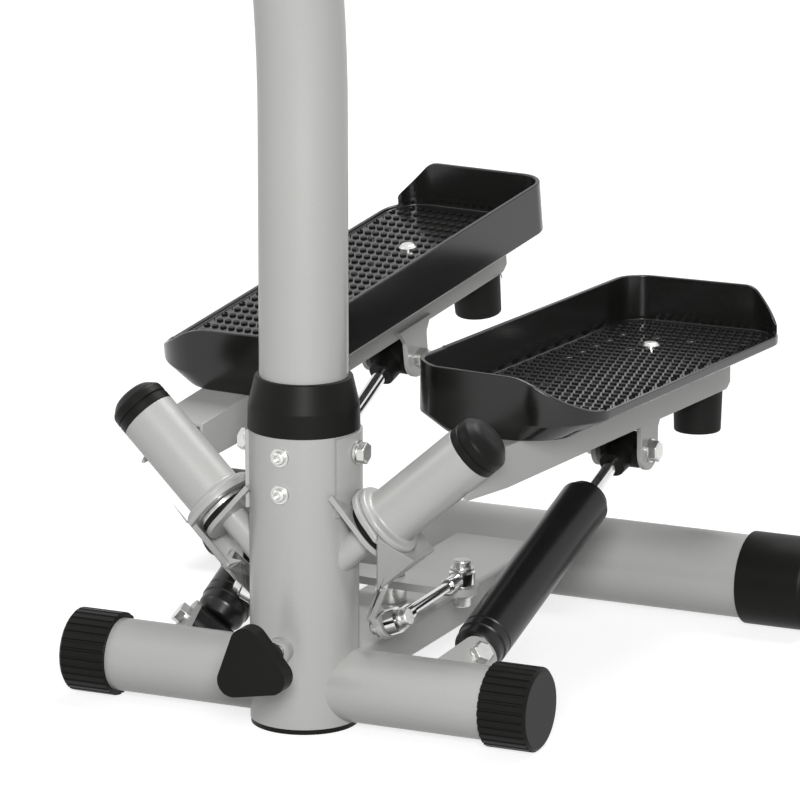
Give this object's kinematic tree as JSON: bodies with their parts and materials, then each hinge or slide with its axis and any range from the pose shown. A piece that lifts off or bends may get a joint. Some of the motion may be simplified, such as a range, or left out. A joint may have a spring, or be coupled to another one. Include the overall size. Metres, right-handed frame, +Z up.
{
  "type": "stepper",
  "caption": "Mini stepper with foot trays on inclined pivots, linked by a rocker and tie rods over hydraulic dampers, with an upright post and handlebar.",
  "frame": {"origin": "centre of the column's foot on the floor", "axes": "+Z up; -Y toward the front, where the adjuster knob is; +Y toward the foot trays; +X to the right as seen from the front"},
  "size_m": [0.484, 0.576, 1.1629],
  "materials": {
    "silver_paint": "satin metallic paint",
    "black_plastic": "satin moulded",
    "tray_plastic": "semi-gloss moulded",
    "grip_foam": "matt foam",
    "rubber": "matt",
    "knob_plastic": "fine textured",
    "black_paint": "satin",
    "zinc_hardware": "bright zinc plated",
    "chrome": "polished"
  },
  "bodies": {
    "frame": {"center_beam": "silver_paint", "column_cross_bolt": "zinc_hardware", "column_foot_plug": "black_plastic", "column_screw_lower": "zinc_hardware", "column_screw_upper": "zinc_hardware", "column_tube": "silver_paint", "damper_lower_bolt_left": "zinc_hardware", "damper_lower_bolt_right": "zinc_hardware", "front_cap_left": "black_plastic", "front_cap_right": "black_plastic", "front_stabilizer": "silver_paint", "grip_left": "grip_foam", "grip_right": "grip_foam", "handle_post": "silver_paint", "handlebar": "silver_paint", "handlebar_clamp": "black_plastic", "pivot_saddle": "silver_paint", "post_collar": "black_plastic", "post_head": "black_plastic", "rear_sleeve_left": "black_plastic", "rear_sleeve_right": "black_plastic", "rear_stabilizer": "silver_paint", "rocker_pivot_bolt": "zinc_hardware", "thrust_bush_left": "black_plastic", "thrust_bush_right": "black_plastic", "thrust_washer_left": "zinc_hardware", "thrust_washer_right": "zinc_hardware"},
    "right_pedal": {"crank_bracket_right": "silver_paint", "crank_stud_right": "zinc_hardware", "damper_upper_bolt_right": "zinc_hardware", "pedal_arm_right": "silver_paint", "pedal_bumper_right": "rubber", "pedal_tray_right": "tray_plastic", "tray_screw_right": "zinc_hardware", "pivot_cap_right": "black_plastic", "pivot_tube_right": "silver_paint"},
    "right_damper": {"damper_barrel_right": "black_paint"},
    "right_damper_rod": {"damper_rod_right": "chrome", "damper_head_right": "black_plastic"},
    "right_tie_rod": {"tie_rod_right": "chrome"},
    "left_pedal": {"crank_bracket_left": "silver_paint", "crank_stud_left": "zinc_hardware", "damper_upper_bolt_left": "zinc_hardware", "pedal_arm_left": "silver_paint", "pedal_bumper_left": "rubber", "pedal_tray_left": "tray_plastic", "tray_screw_left": "zinc_hardware", "pivot_cap_left": "black_plastic", "pivot_tube_left": "silver_paint"},
    "left_damper": {"damper_barrel_left": "black_paint"},
    "left_damper_rod": {"damper_rod_left": "chrome", "damper_head_left": "black_plastic"},
    "left_tie_rod": {"tie_rod_left": "chrome"},
    "rocker": {"rocker_bar": "silver_paint", "rocker_stud_left": "zinc_hardware", "rocker_stud_right": "zinc_hardware"},
    "knob": {"adjuster_knob": "knob_plastic", "adjuster_screw": "zinc_hardware", "adjuster_pad": "rubber"}
  },
  "joints": [
    {"name": "right_pedal_swing", "type": "hinge", "parent": "frame", "child": "right_pedal", "pos_m": [0, -0.011, 0.092], "axis": [0.7445, 0.1046, 0.6593], "range_deg": [-3.5, 16.5]},
    {"name": "left_pedal_swing", "type": "hinge", "parent": "frame", "child": "left_pedal", "pos_m": [0, -0.011, 0.092], "axis": [0.7445, -0.1046, -0.6593], "range_deg": [-16.55, 3.55]},
    {"name": "rocker_swing", "type": "hinge", "parent": "frame", "child": "rocker", "pos_m": [0, 0.139, 0.061], "axis": [0, 0, 1], "range_deg": [-3.13, 14.59]},
    {"name": "right_tie_rod_turn", "type": "hinge", "parent": "rocker", "child": "right_tie_rod", "pos_m": [0.05672, 0.13331, 0.0723], "axis": [0.1146, -0.2927, 0.9493], "range_deg": [-19.07, 4.08]},
    {"name": "right_damper_swing", "type": "hinge", "parent": "frame", "child": "right_damper", "pos_m": [0.0975, 0.0465, 0.036], "axis": [0.7035, -0.301, 0.6438], "range_deg": [-3.48, 16.21]},
    {"name": "right_damper_stroke", "type": "slide", "parent": "right_damper", "child": "right_damper_rod", "axis": [0.0552, 0.9263, 0.3728], "range_m": [-0.00693, 0.03192]},
    {"name": "left_tie_rod_turn", "type": "hinge", "parent": "rocker", "child": "left_tie_rod", "pos_m": [-0.05672, 0.14469, 0.0723], "axis": [-0.1705, -0.2644, 0.9492], "range_deg": [-19.06, 4.08]},
    {"name": "left_damper_swing", "type": "hinge", "parent": "frame", "child": "left_damper", "pos_m": [-0.0975, 0.0465, 0.036], "axis": [-0.7069, -0.2993, 0.6409], "range_deg": [-3.46, 16.14]},
    {"name": "left_damper_stroke", "type": "slide", "parent": "left_damper", "child": "left_damper_rod", "axis": [0.1018, 0.8536, 0.511], "range_m": [-0.03197, 0.00694]},
    {"name": "knob_turn", "type": "hinge", "parent": "frame", "child": "knob", "pos_m": [0, -0.044, 0.059], "axis": [0, 1, 0], "range_deg": [-360, 360]}
  ],
  "couplings": [
    {"joint": "left_pedal_swing", "follows": "right_pedal_swing", "ratio": -1},
    {"joint": "rocker_swing", "follows": "right_pedal_swing", "ratio": 0.88121},
    {"joint": "right_tie_rod_turn", "follows": "right_pedal_swing", "ratio": -1.1526},
    {"joint": "right_damper_swing", "follows": "right_pedal_swing", "ratio": 0.97945},
    {"joint": "right_damper_stroke", "follows": "right_pedal_swing", "m_per_rad": 0.11015},
    {"joint": "left_tie_rod_turn", "follows": "right_pedal_swing", "ratio": -1.152},
    {"joint": "left_damper_swing", "follows": "right_pedal_swing", "ratio": 0.97494},
    {"joint": "left_damper_stroke", "follows": "right_pedal_swing", "m_per_rad": -0.11033}
  ]
}
